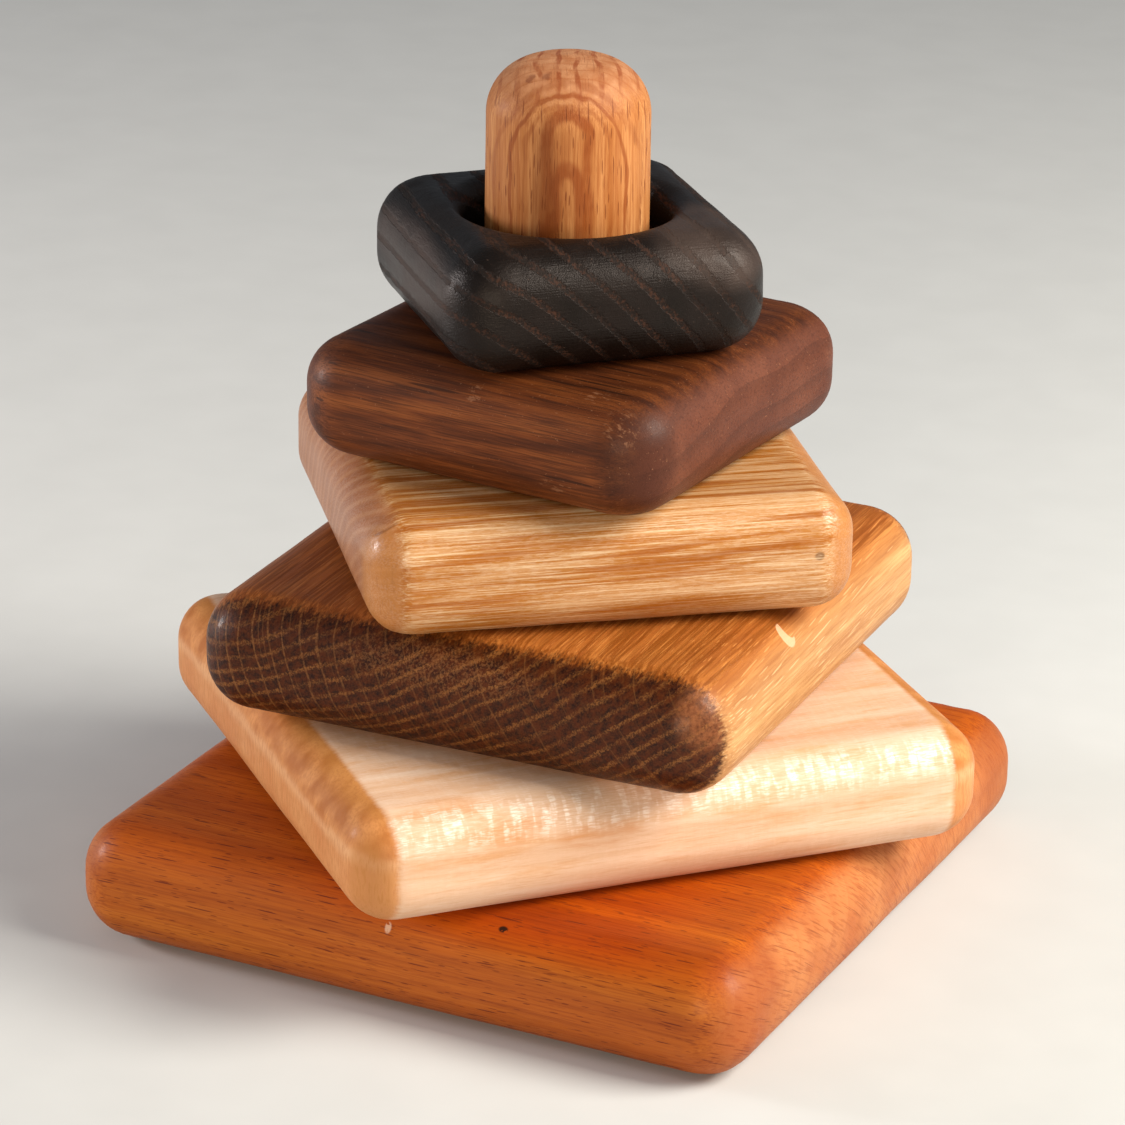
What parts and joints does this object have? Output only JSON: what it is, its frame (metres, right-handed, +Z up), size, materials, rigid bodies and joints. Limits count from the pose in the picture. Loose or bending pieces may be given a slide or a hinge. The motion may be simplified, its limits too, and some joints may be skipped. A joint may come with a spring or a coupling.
{
  "type": "square wooden stacking tower",
  "caption": "Square base board with a fixed round post, and loose square wooden rings in falling sizes that drop over the post and lift off one after another.",
  "frame": {"origin": "centre of the base board's flat underside, on the post's axis", "axes": "+Z up along the post; X along the base board's grain, Y across it"},
  "size_m": [0.142, 0.1424, 0.143],
  "materials": {
    "steamed_beech": "satin oil, reddish brown with short dark flecks",
    "post_beech": "satin oil, pinkish tan with fine dark flecks",
    "maple": "gloss oil, pale cream",
    "oak": "gloss oil, golden brown with darker end grain",
    "ash": "gloss oil, honey with pale bands",
    "walnut": "satin oil, dark brown",
    "ebonised_ash": "satin, stained black with brown pores"
  },
  "bodies": {
    "stand": {"base_board": "steamed_beech", "post": "post_beech"},
    "maple_ring": {"maple_ring": "maple"},
    "oak_ring": {"oak_ring": "oak"},
    "ash_ring": {"ash_ring": "ash"},
    "walnut_ring": {"walnut_ring": "walnut"},
    "black_ring": {"black_ring": "ebonised_ash"}
  },
  "joints": [
    {"name": "maple_lift", "type": "slide", "parent": "stand", "child": "maple_ring", "axis": [0, 0, 1], "range_m": [0, 0.1278]},
    {"name": "oak_lift", "type": "slide", "parent": "maple_ring", "child": "oak_ring", "axis": [0, 0, 1], "range_m": [0, 0.1088]},
    {"name": "ash_lift", "type": "slide", "parent": "oak_ring", "child": "ash_ring", "axis": [0, 0, 1], "range_m": [0, 0.0884]},
    {"name": "walnut_lift", "type": "slide", "parent": "ash_ring", "child": "walnut_ring", "axis": [0, 0, 1], "range_m": [0, 0.0687]},
    {"name": "black_lift", "type": "slide", "parent": "walnut_ring", "child": "black_ring", "axis": [0, 0, 1], "range_m": [0, 0.0495]}
  ]
}
